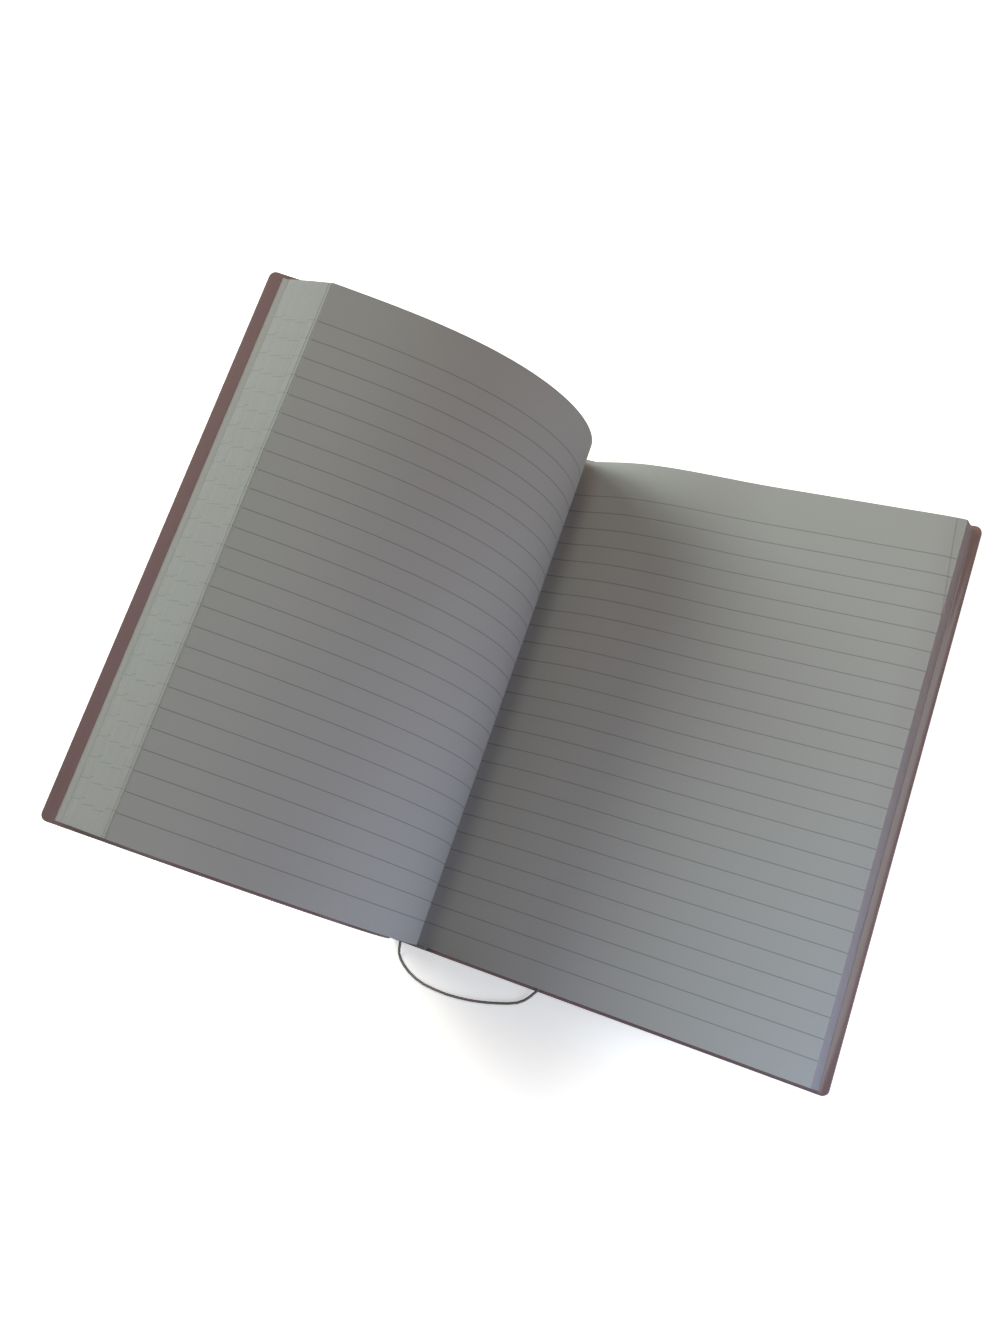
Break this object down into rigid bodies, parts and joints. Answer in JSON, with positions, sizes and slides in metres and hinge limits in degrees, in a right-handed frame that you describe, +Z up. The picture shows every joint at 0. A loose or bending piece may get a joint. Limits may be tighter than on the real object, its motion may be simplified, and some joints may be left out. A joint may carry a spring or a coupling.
{
  "type": "open composition notebook",
  "caption": "Ruled notebook lying open in the middle, with thin flexible maroon covers, one half flat, the other arched up from the spine, and a thin cord ribbon marker",
  "frame": {"origin": "middle of the back cover's underside, on the table", "axes": "+Z up, +X from the spine towards the flat half's fore-edge, +Y towards the head of the page"},
  "size_m": [0.2942, 0.2662, 0.1536],
  "materials": {
    "leaves": "matt pale writing paper with thin grey-green ruled lines",
    "endpaper": "matt plain heavy paper",
    "board": "raw grey-brown card",
    "covering": "maroon leather-like covering with a satin sheen",
    "gauze": "glued cotton gauze",
    "band": "woven cotton band",
    "ribbon": "dark grey twisted cord"
  },
  "bodies": {
    "back_cover": {"back_board": "board", "back_cloth": "covering", "back_endpaper": "endpaper"},
    "block": {"pages": "leaves", "spine_lining": "gauze", "headband": "band", "tailband": "band", "spine_board": "board", "spine_cloth": "covering", "ribbon": "ribbon"},
    "front_cover": {"front_board": "board", "front_cloth": "covering", "front_endpaper": "endpaper"}
  },
  "joints": [
    {"name": "back_cover_hinge", "type": "hinge", "parent": "back_cover", "child": "block", "pos_m": [-0.0934, 0, 0.0002], "axis": [0, -1, 0], "range_deg": [0, 55]},
    {"name": "front_cover_hinge", "type": "hinge", "parent": "block", "child": "front_cover", "pos_m": [-0.1166, 0, 0.005], "axis": [0, -1, 0], "range_deg": [0, 60]}
  ]
}
